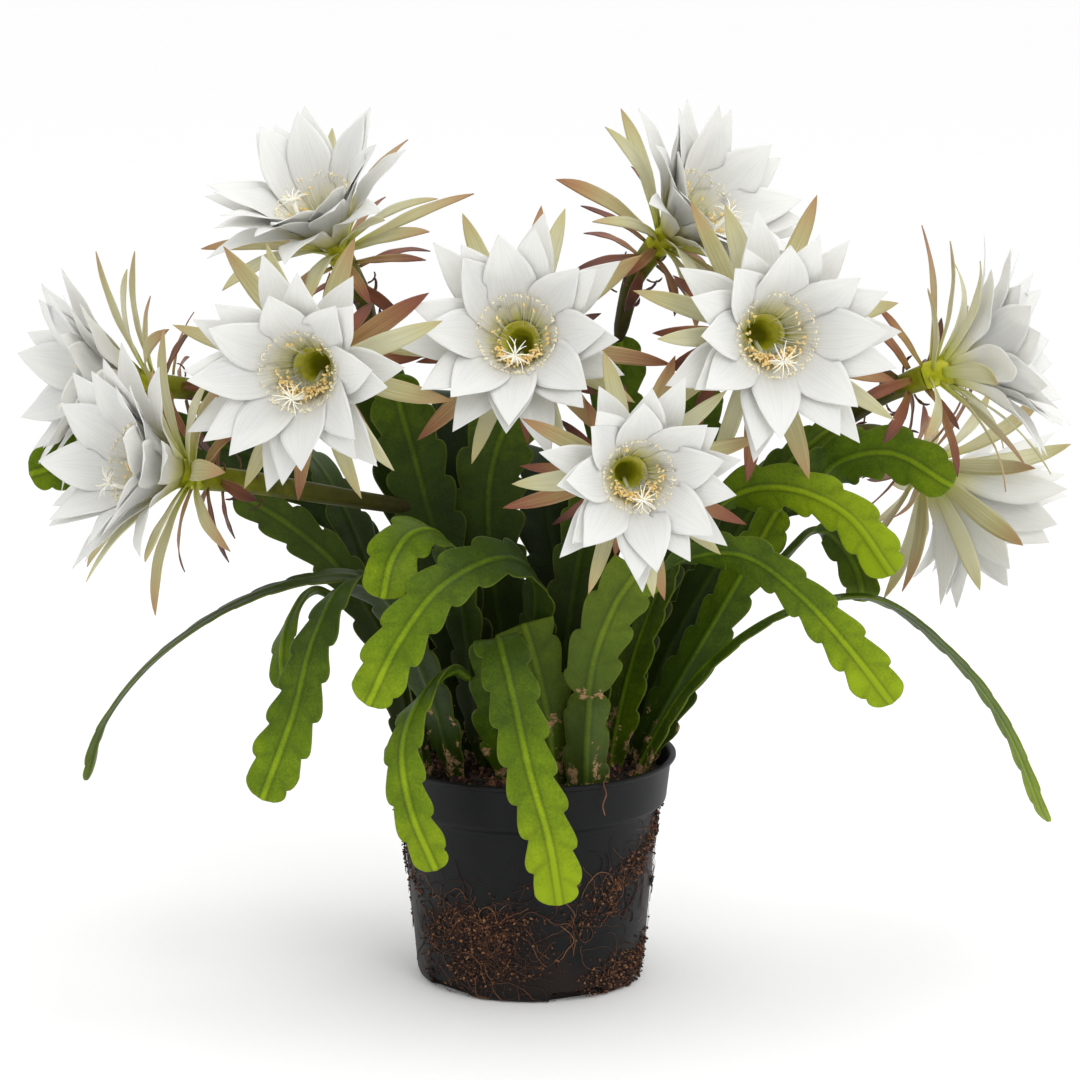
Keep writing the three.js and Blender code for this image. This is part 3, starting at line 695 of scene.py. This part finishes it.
# Painted shade: a dark band along each flank of the midrib, and darker lines along the side veins
# for the shade of their creases.
in_cm = add("Math", {0: across, 1: 100.0}, operation="MULTIPLY")
painted_flank_shade = add("ValToRGB", {"Fac": in_cm},
             stops=[(0.13, 0.0), (0.25, 0.42), (0.42, 0.12), (0.8, 0.0)])
weighted_vein_shade = add("Math", {0: vein_crease_shade, 1: 0.28}, operation="MULTIPLY")
painted_shade_lines = add("Math", {0: painted_flank_shade, 1: weighted_vein_shade}, operation="MAXIMUM")
with_painted_shade = add("Mix", {"Factor": painted_shade_lines, "A": waxed, "B": linear("#22330A")}, data_type="RGBA")
margin = add("MapRange", {"Value": edge}, span=(0.93, 1.0, 0.0, 0.32))
edged = add("Mix", {"Factor": margin, "A": with_painted_shade, "B": linear("#828C34")}, data_type="RGBA")
near_foot = add("MapRange", {"Value": base}, span=(0.028, 0.11, 0.11, -0.2))
scars = add("TexNoise", {"Vector": place, "Scale": 105.0, "Detail": 7.0, "Roughness": 0.7})
scarred = add("Math", {0: scars, 1: near_foot}, operation="ADD")
scar = add("ValToRGB", {"Fac": scarred}, stops=[(0.62, 0.0), (0.655, 1.0)])
cork = add("ValToRGB", {"Fac": grain}, stops=[(0.3, "#7C5B3C"), (0.7, "#C0A078")])
colour = add("Mix", {"Factor": scar, "A": edged, "B": cork}, data_type="RGBA")
bumps = add("Math", {0: mottle, 1: grain}, operation="ADD")
bump = add("Bump", {"Height": bumps, "Strength": 0.3, "Distance": 0.0008})
rough = add("MapRange", {"Value": scar}, span=(0, 1, 0.42, 0.85))
add("OutputMaterial", {"Surface": add("BsdfPrincipled", {
    "Base Color": colour, "Roughness": rough, "Normal": bump, "IOR": 1.42,
    "Specular IOR Level": 0.17})})

for stem, (tone, bloom) in sorted(STEM_LOOKS.items()):
    node = "stem_" + stem
    finished(model_stem(node, tone, bloom, TRUNKS.get(stem)), stem_skin, "stem", node)

# ---- Flowers ----
# Ten night-blooming flowers 13 to 16 cm across: a cup of 23 thin white petals in three whorls
# over narrow cream sepals and pink-brown bracts, all on the flared top of a curved tube.

# A petal's width along it, as (share of its length, share of its full half width)
WHITE_OUTLINE = [(0, 0.6), (0.2, 0.75), (0.38, 0.93), (0.5, 1.0), (0.6, 0.97), (0.7, 0.83),
                 (0.79, 0.62), (0.87, 0.4), (0.93, 0.22), (0.97, 0.1), (1, 0.0)]
NARROW_OUTLINE = [(0, 0.5), (0.2, 0.68), (0.45, 0.97), (0.6, 1.0), (0.78, 0.8), (0.9, 0.46),
                  (0.97, 0.16), (1, 0.0)]
# Whorl by whorl from the inside: number, foot (radius, height), slope along it as (share of its
# length, degrees), length, width, all in mm, and how closely it hugs the cup
WHORLS = [
    (8, (12.7, 13.6), [(0, 66), (0.34, 62), (0.58, 49), (0.8, 38), (1, 33)], 74, 32, 1.0),
    (8, (12.2, 11), [(0, 64), (0.38, 56), (0.62, 41), (1, 24)], 79, 30, 0.95),
    (7, (11.0, 7.5), [(0, 57), (0.33, 45), (0.65, 27), (1, 12)], 82, 26, 0.85),
]
PETAL_THICKNESS, SEPAL_THICKNESS = 0.35 * MM, 0.7 * MM
SEPALS, BRACTS, HOOKS = 12, 10, 9  # round the tube, in this order down it
GOLDEN = math.pi * (3 - math.sqrt(5))
# The flared throat, (radius, height, tint): outside up to the petals' feet, and down inside
THROAT = [(8.4, -10, 0.24), (8.8, 0, 0.2), (10.4, 7, 0.17), (12.3, 12, 0.14), (12.9, 14, 0.1),
          (12.4, 14.3, 0.07), (11.7, 12, 0.08), (9.6, 7, 0.13), (7.4, 0, 0.22), (5.8, -6, 0.38),
          (0.05, -7.4, 0.5)]


def flower_frame(name):
    """The turn from a flower's own frame (Z along its axis, Y upwards), its base and its size,
    read from the cup of its petals node."""
    points, _ = merged(name + "_petals")
    middle = points.mean(0)
    spread, ways = np.linalg.eigh(np.cov((points - middle).T))
    gaps = [abs(spread[(k + 1) % 3] - spread[(k + 2) % 3]) for k in range(3)]
    axis = ways[:, int(np.argmin(gaps))]
    along = (points - middle) @ axis
    out = np.linalg.norm((points - middle) - along[:, None] * axis, axis=1)
    if out[along > 0].mean() < out[along < 0].mean():
        axis, along = -axis, -along
    size = (along.max() - along.min()) / (68.5 * MM)
    base = middle + axis * (along.min() - 1.5 * MM * size)
    up = np.array([0.0, 0.0, 1.0]) - axis * axis[2]
    up /= np.linalg.norm(up)
    return np.column_stack([np.cross(up, axis), up, axis]), base, size


def outline(knots, t):
    """A smooth value through (place, value) knots."""
    xs, ys = zip(*knots)
    fine = np.linspace(xs[0], xs[-1], 200)
    values = np.interp(fine, xs, ys)
    kernel = np.hanning(15) / np.hanning(15).sum()
    values = np.convolve(np.pad(values, 7, mode="edge"), kernel, mode="valid")
    values[-8:] = np.interp(fine[-8:], xs, ys)
    return np.interp(t, fine, values)


def blank(columns, rows):
    """A flat petal blank: a grid with its place across (-1 to 1) and along (0 to 1)."""
    places, faces = taken(primitive("grid", x_subdivisions=columns, y_subdivisions=rows, size=2))
    return places[:, 0], (places[:, 1] + 1) / 2, faces


def bend_petal(sheet, knots, foot, turns, length, width, hug, roll, sway, wave, seed):
    """Bends a blank to a petal that leaves the flower's axis at foot (radius, height), over +X.
    Its slope follows turns, (share of its length, degrees up) in order; across, it hugs the cup."""
    u, v, faces = sheet
    steps = np.linspace(0, 1, 60)
    turn = np.radians(outline(turns, steps))
    r = foot[0] + np.concatenate([[0], np.cumsum(np.cos(turn[:-1]) * length / 59)])
    z = foot[1] + np.concatenate([[0], np.cumsum(np.sin(turn[:-1]) * length / 59)])
    pr, pz, pa = (np.interp(v, steps, a) for a in (r, z, turn))
    half = outline(knots, v) * width / 2
    across = u * half
    bend = hug / np.maximum(pr, 9) * (1 - v) ** 1.1 + 0.005
    inward = (1 - np.cos(across * bend)) / bend
    sideways = np.sin(across * bend) / bend
    keel = 0.45 * np.exp(-(u / 0.14) ** 2) * (1 - v)
    rim = wave * np.abs(u) ** 2.5 * np.sin(v * 15 + seed * 6 + u * 2.2)
    rim = rim * np.sin(math.pi * v ** 0.8)
    rolled = np.radians(roll) * v ** 1.5
    proud = inward * np.cos(rolled) + sideways * np.sin(rolled) - keel + rim
    sideways = sideways * np.cos(rolled) - inward * np.sin(rolled) + sway * v * v * length
    return np.column_stack([pr - np.sin(pa) * proud, sideways, pz + np.cos(pa) * proud]), faces


def turned_round(points, azimuth):
    c, s = math.cos(azimuth), math.sin(azimuth)
    x, y, z = points.T
    return np.column_stack([x * c - y * s, x * s + y * c, z])


def thicken(obj, thickness):
    """Gives thin sheets their thickness."""
    wall = obj.modifiers.new("thickness", "SOLIDIFY")
    wall.thickness, wall.offset, wall.use_rim = thickness, 0, True
    apply_modifiers(obj)


# White petal tissue: thin, soft, cool white, yellow-green at its foot, with faint veins along it.
petal_white, add = new_material("white_petal_tissue")
along, across = (add("Attribute", attribute_name=name).outputs["Fac"]
                 for name in ("along", "across"))
place = add("CombineXYZ", {"X": across, "Y": along})
stretched = add("Mapping", {"Vector": place, "Scale": (13.0, 0.9, 1.0)})
veins = add("TexNoise", {"Vector": stretched, "Scale": 1.0, "Detail": 4.0, "Roughness": 0.6})
shade = add("ValToRGB", {"Fac": veins}, stops=[(0.25, "#DADAD5"), (0.65, "#E6E6E2")])
foot = add("ValToRGB", {"Fac": along},
           stops=[(0.0, "#DEDC66"), (0.1, "#F4F0AE"), (0.21, "#FFFBDC"), (0.35, "#FFFFFF")])
colour = add("Mix", {"Factor": 1.0, "A": shade, "B": foot}, data_type="RGBA",
             blend_type="MULTIPLY")
bump = add("Bump", {"Height": veins, "Strength": 0.3, "Distance": 0.0006})
add("OutputMaterial", {"Surface": add("BsdfPrincipled", {
    "Base Color": colour, "Roughness": 0.55, "Normal": bump, "IOR": 1.38,
    "Subsurface Weight": 0.5, "Subsurface Radius": (1.0, 0.97, 0.88),
    "Subsurface Scale": 0.0016})})

flowers = {name: flower_frame(name) for name in (f"flower_{k:02d}" for k in range(1, 11))}
white_blank, narrow_blank = blank(10, 22), blank(6, 16)
rng = random.Random(7)
for name, placed in flowers.items():
    cup = Bunch("along", "across")
    start, opening = rng.uniform(0, math.tau), rng.gauss(0, 2)
    for whorl, (number, foot_at, turns, length, width, hug) in enumerate(WHORLS):
        for k in range(number):
            azimuth = start + math.tau * (k + 0.5 * (whorl % 2)) / number + 0.2 * whorl
            azimuth += rng.gauss(0, 0.06)
            lean = opening + 7 * math.sin(azimuth) + rng.gauss(0, 2.2)
            curl = rng.gauss(0, 4.5)
            points, faces = bend_petal(
                white_blank, WHITE_OUTLINE, foot_at,
                [(v, t + lean * v + curl * v * v) for v, t in turns],
                length * rng.uniform(0.95, 1.04), width * rng.uniform(0.92, 1.08),
                hug * rng.uniform(0.8, 1.2), roll=rng.gauss(10, 3.5), sway=rng.gauss(0, 0.035),
                wave=rng.uniform(0.5, 1.4), seed=rng.random())
            cup.add(turned_round(points, azimuth), faces, along=white_blank[1],
                    across=white_blank[0])
    petals = cup.piece(name + "_white_petals", placed)
    thicken(petals, PETAL_THICKNESS)
    finished(petals, petal_white, "petal", name + "_petals")

# Outer tissue: cream-green sepals (tint 0) to pink-brown bracts (tint 1), yellow-green at their
# feet and browner at the tips.
outer_skin, add = new_material("sepal_and_bract_tissue")
along, across, tint = (add("Attribute", attribute_name=name).outputs["Fac"]
                       for name in ("along", "across", "tint"))
place = add("CombineXYZ", {"X": across, "Y": along, "Z": tint})
stretched = add("Mapping", {"Vector": place, "Scale": (9.0, 1.2, 14.0)})
veins = add("TexNoise", {"Vector": stretched, "Scale": 1.0, "Detail": 4.0})
tip = add("MapRange", {"Value": along}, span=(0.55, 1.0, -0.12, 0.16))
streaks = add("MapRange", {"Value": veins}, span=(0.25, 0.75, -0.1, 0.1))
age = add("Math", {0: tint, 1: tip}, operation="ADD")
age = add("Math", {0: age, 1: streaks}, operation="ADD")
aged = add("ValToRGB", {"Fac": age}, stops=[
    (0.0, "#D3D1B0"), (0.2, "#B9B382"), (0.42, "#A8855A"), (0.62, "#86503A"), (1.0, "#42201C")])
fresh = add("MapRange", {"Value": along}, span=(0.04, 0.3, 0.9, 0.0))
pale = add("MapRange", {"Value": tint}, span=(0.3, 0.6, 1.0, 0.15))
green_foot = add("Math", {0: fresh, 1: pale}, operation="MULTIPLY")
colour = add("Mix", {"Factor": green_foot, "A": aged, "B": linear("#B9C03A")}, data_type="RGBA")
bump = add("Bump", {"Height": veins, "Strength": 0.3, "Distance": 0.0006})
add("OutputMaterial", {"Surface": add("BsdfPrincipled", {
    "Base Color": colour, "Roughness": 0.5, "Normal": bump, "IOR": 1.4,
    "Subsurface Weight": 0.2, "Subsurface Radius": (1.0, 0.8, 0.4), "Subsurface Scale": 0.002})})

# Tube skin: ribbed green tissue, yellow where it flares and flushed red-brown towards the stem.
tube_skin, add = new_material("flower_tube_skin")
place = add("TexCoord").outputs["Object"]
tint = add("Attribute", attribute_name="tint").outputs["Fac"]
mottle = add("TexNoise", {"Vector": place, "Scale": 120.0, "Detail": 5.0})
patchy = add("MapRange", {"Value": mottle}, span=(0.3, 0.7, -0.07, 0.07))
tinted = add("Math", {0: tint, 1: patchy}, operation="ADD")
colour = add("ValToRGB", {"Fac": tinted},
             stops=[(0.0, "#F6F1B4"), (0.1, "#DFDB62"), (0.22, "#B2B420"), (0.4, "#7E7F0E"),
                    (0.66, "#484911"), (1.0, "#312C10")])
bump = add("Bump", {"Height": mottle, "Strength": 0.3, "Distance": 0.0006})
add("OutputMaterial", {"Surface": add("BsdfPrincipled", {
    "Base Color": colour, "Roughness": 0.48, "Normal": bump, "IOR": 1.42,
    "Specular IOR Level": 0.2, "Subsurface Weight": 0.3, "Subsurface Radius": (1.0, 0.9, 0.3),
    "Subsurface Scale": 0.002})})


def tube_route(name, placed):
    """Centres and radii of the tube's rings behind the flower, in the flower's frame, in mm."""
    turn, base, size = placed
    points, beside = merged(name + "_tube")
    local = (points - base) @ turn / (MM * size)
    behind = {i for i, p in enumerate(local) if p[2] < -9}
    neck = [i for i, p in enumerate(local) if abs(p[2] + 8) < 0.7 and math.hypot(p[0], p[1]) < 10]
    rings = [sorted(level) for level in levels_from(neck, beside, behind)][1:]
    rings = [ring for ring in rings if len(ring) >= 6][:4]
    centres = [local[ring].mean(0) for ring in rings]
    radii = [np.linalg.norm(local[ring] - c, axis=1).mean() for ring, c in zip(rings, centres)]
    return centres, radii


def ribbed_tube(centres, radii, ribs, sides=24):
    """A tube along centres, with low ribs, closed by a point at each end."""
    points, faces = strand(centres, np.array(radii), sides)
    n = len(centres)
    rings = points.reshape(n, sides, 3)
    for k in range(n):
        wave = ribs * np.cos(np.arange(sides) * math.tau * 5 / sides)
        rings[k] += (rings[k] - centres[k]) * wave[:, None]
    return rings.reshape(-1, 3), faces


def at_depth(route, depth):
    """The place and direction of a tube's axis at a depth below the flower's base, in mm."""
    lengths = np.concatenate([[0], np.cumsum(np.linalg.norm(np.diff(route, axis=0), axis=1))])
    want = min(depth + 4, lengths[-1] - 4)
    p, q = (np.array([np.interp(at, lengths, route[:, i]) for i in range(3)])
            for at in (want, want + 3))
    back = (p - q) / np.linalg.norm(p - q)
    return p, np.array(Vector((0, 0, 1)).rotation_difference(Vector(back)).to_matrix())


rng = random.Random(23)
for name, placed in flowers.items():
    centres, radii = tube_route(name, placed)
    route = smooth_line(np.array([(0, 0, 4), (0, 0, -8)] + [tuple(c) for c in centres]), 6)
    onward = (route[-1] - route[-2]) / np.linalg.norm(route[-1] - route[-2])
    thickness = np.interp(np.linspace(0, 1, len(route)), np.linspace(0, 1, len(radii) + 2),
                          [9.2, 8.2] + list(radii))
    # It narrows to its seat on the stem
    thickness = np.concatenate([thickness, [radii[-1] * k for k in (0.86, 0.62, 0.3)]])
    route = np.vstack([route] + [route[-1] + onward * k for k in (4, 9, 14)])
    tube = Bunch("tint")
    points, faces = ribbed_tube(route[6:], thickness[6:], 0.05)
    tube.add(points, faces, tint=np.repeat((np.linspace(0.16, 1, len(route)) ** 0.8)[6:], 24))
    angles = np.arange(40) * math.tau / 40
    points = np.vstack([np.column_stack([r * np.cos(angles), r * np.sin(angles), np.full(40, z)])
                        for r, z, _ in THROAT])
    tube.add(points, ring_faces(len(THROAT), 40),
             tint=np.repeat([tint for _, _, tint in THROAT], 40))
    finished(tube.piece(name + "_flower_tube", placed), tube_skin, "flower_tube", name + "_tube")

    outer = Bunch("along", "across", "tint")
    start = rng.uniform(0, math.tau)
    for k in range(SEPALS + BRACTS + HOOKS):
        azimuth = start + GOLDEN * k + rng.gauss(0, 0.1)
        if k < SEPALS:
            share = k / (SEPALS - 1)
            depth = -3 + 8 * share
            up, over = 46 - 26 * share + rng.gauss(0, 4), 8 - 22 * share + rng.gauss(0, 8)
            length, width, hug = rng.uniform(80, 92), rng.uniform(11, 14.5), 1.2
            tint = 0.02 + 0.52 * share * rng.uniform(0.4, 1.1)
        elif k < SEPALS + BRACTS:
            share = (k - SEPALS) / (BRACTS - 1)
            depth = 5 + 22 * share
            up, over = 14 - 22 * share + rng.gauss(0, 6), -20 - 24 * share + rng.gauss(0, 10)
            length = rng.uniform(50, 74) * (1 - 0.35 * share)
            width, hug = rng.uniform(6.5, 9.5), 1.6
            tint = 0.55 + 0.32 * share + rng.gauss(0, 0.08)
        else:
            share = (k - SEPALS - BRACTS) / (HOOKS - 1)
            depth = 24 + 34 * share
            up, over, length, width, hug = 0, 95, rng.uniform(9, 16), 2.4, 1
            tint = 1.0
        turns = [(0, up), (0.5, 0.6 * up + 0.4 * over), (1, over)]
        points, faces = bend_petal(narrow_blank, NARROW_OUTLINE, (8.0, 0), turns, length, width,
                                   hug, roll=rng.gauss(0, 12), sway=rng.gauss(0, 0.04),
                                   wave=0.3, seed=rng.random())
        middle, lean = at_depth(route, depth)
        outer.add(turned_round(points, azimuth) @ lean.T + middle, faces, along=narrow_blank[1],
                  across=narrow_blank[0], tint=tint)
    sepals = outer.piece(name + "_sepals", placed)
    thicken(sepals, SEPAL_THICKNESS)
    finished(sepals, outer_skin, "flower_tube")

# ---- Stamens and style ----
# Some 270 cream filaments from the wall of the throat, 120 of them in a ring round its mouth and
# the rest in a bunch that droops with the style, each with a yellow anther. The style ends in a
# star of pale stigma lobes.

# Filament and pollen: waxy cream threads (tint 0), powdery yellow anthers (tint 1).
stamen_tissue, add = new_material("filament_and_pollen")
place = add("TexCoord").outputs["Object"]
tint = add("Attribute", attribute_name="tint").outputs["Fac"]
grain = add("TexNoise", {"Vector": place, "Scale": 700.0, "Detail": 3.0})
patchy = add("MapRange", {"Value": grain}, span=(0.3, 0.7, -0.08, 0.08))
tinted = add("Math", {0: tint, 1: patchy}, operation="ADD")
colour = add("ValToRGB", {"Fac": tinted},
             stops=[(0.0, "#FEFDF4"), (0.3, "#FCF7DF"), (0.6, "#FBEBC0"), (1.0, "#FBD27C")])
bump = add("Bump", {"Height": grain, "Strength": 0.4, "Distance": 0.0004})
add("OutputMaterial", {"Surface": add("BsdfPrincipled", {
    "Base Color": colour, "Roughness": 0.6, "Normal": bump, "Subsurface Weight": 0.3,
    "Subsurface Radius": (1.0, 0.9, 0.6), "Subsurface Scale": 0.001})})


def bowed(start, end, bow, count=8):
    """Points on an arc from start to end that bows by the vector `bow` at its middle."""
    t = np.linspace(0, 1, count)[:, None]
    return np.array(start) * (1 - t) + np.array(end) * t + np.array(bow) * 4 * t * (1 - t)


def flat_way(azimuth):
    """The direction square to the flower's axis at an azimuth."""
    return np.array((math.cos(azimuth), math.sin(azimuth), 0))


RING_STAMENS, LOW_STAMENS, STIGMA_LOBES = 120, 150, 14
rng = random.Random(31)
ball, anther_faces = taken(primitive("uv_sphere", segments=6, ring_count=5, radius=1))
anther = ball * (0.6, 0.6, 1.2)
for name, placed in flowers.items():
    inside = Bunch("tint")
    for k in range(RING_STAMENS + LOW_STAMENS):
        if k < RING_STAMENS:
            azimuth = math.tau * k / RING_STAMENS + rng.gauss(0, 0.05)
            way = flat_way(azimuth)
            start = way * 12.2 + (0, 0, 14)
            end = way * rng.gauss(24.3, 0.5) + (0, 0, rng.gauss(40, 2.2))
            bow = way * 0.2 - (0, 0, 0.2)
            ripe, thin, plump = rng.uniform(0.3, 0.6), 0.4, 0.9
        else:
            azimuth = -math.pi / 2 + rng.gauss(0, 0.62 if k % 4 else 1.3)
            way = flat_way(azimuth)
            deep, reach = rng.uniform(9, 11.5), rng.uniform(*((11.5, 17) if k % 4 else (15, 20)))
            start = way * deep + (0, 0, rng.uniform(8, 14))
            end = way * reach + (0, 0, 12 + 1.15 * reach + rng.gauss(0, 1.8))
            bow = (0, rng.uniform(-2, -0.5), rng.uniform(-1.5, 1.5))
            ripe, thin, plump = rng.uniform(0.7, 1.0), 0.7, 1.3
        path = bowed(start, end, bow)
        inside.add(*strand(path, np.linspace(0.32, 0.22, len(path)) * thin, 4),
                   tint=rng.uniform(0.0, 0.2))
        inside.add(anther @ turned_about(rng).T * plump + path[-1], anther_faces, tint=ripe)
    style = bowed((0, -4.5, -5), (0, -15, 50), (0, -5, 0), 14)
    inside.add(*strand(style, np.linspace(1.5, 1.3, 14), 10), tint=0.02)
    ahead = Vector(style[-1] - style[-2]).normalized()
    lean = np.array(Vector((0, 0, 1)).rotation_difference(ahead).to_matrix())
    for k in range(STIGMA_LOBES):
        azimuth = math.tau * k / STIGMA_LOBES + rng.gauss(0, 0.1)
        end = flat_way(azimuth) * rng.uniform(7.5, 12) + (0, 0, rng.uniform(0, 7))
        bow = (rng.gauss(0, 0.7), rng.gauss(0, 0.7), 1.6)
        path = bowed((0, 0, 0), end, bow) @ lean.T + style[-1]
        inside.add(*strand(path, np.linspace(0.5, 0.2, len(path)), 6),
                   tint=rng.uniform(0.05, 0.3))
    finished(inside.piece(name + "_stamens_and_style", placed), stamen_tissue, "stamen",
             name + "_stamens")

# ---- Studio ----
# A pale floor that runs out of sight, soft light from all round, one broad softbox above the
# front right and a weaker one overhead.

floor = primitive("circle", height=-0.2 * MM, vertices=96, radius=40, fill_type="NGON")
floor.name = "studio_floor"
paper, add = new_material("white_background_paper")
add("OutputMaterial", {"Surface": add("BsdfPrincipled", {
    "Base Color": linear("#FEFEFE"), "Roughness": 0.9})})
floor.data.materials.append(paper)

world = bpy.data.worlds.new("studio")
bpy.context.scene.world = world
world.use_nodes = True
world.node_tree.nodes.clear()
add = functools.partial(add_node, world.node_tree)
height = add("SeparateXYZ", {"Vector": add("TexCoord").outputs["Generated"]}).outputs["Z"]
brightness = add("MapRange", {"Value": height}, span=(0.0, 1.0, 0.8, 1.1))
sky = add("Background", {"Color": (1, 1, 1, 1), "Strength": brightness})
add("OutputWorld", {"Surface": sky})

for name, location, size, power in (("softbox_front", (1.1, -1.9, 2.0), 1.3, 15),
                                    ("softbox_top", (0.4, 0.2, 2.4), 1.2, 8)):
    light = bpy.data.lights.new(name, "AREA")
    light.shape, light.size, light.energy = "DISK", size, power
    softbox = bpy.data.objects.new(name, light)
    bpy.context.scene.collection.objects.link(softbox)
    softbox.location = location
    aim = Vector((0, 0, 0.3)) - Vector(location)
    softbox.rotation_euler = aim.to_track_quat("-Z", "Y").to_euler()

lens = bpy.data.cameras.new("camera")
lens.sensor_width, lens.lens, lens.clip_end = 36, 127.0, 100
camera = bpy.data.objects.new("camera", lens)
bpy.context.scene.collection.objects.link(camera)
camera.location = (0.0065, -2.4, 0.78)
camera.rotation_euler = (math.radians(90 - 11.6), 0, 0)
bpy.context.scene.camera = camera
bpy.context.scene.view_settings.view_transform = "Standard"

bpy.context.view_layer.update()
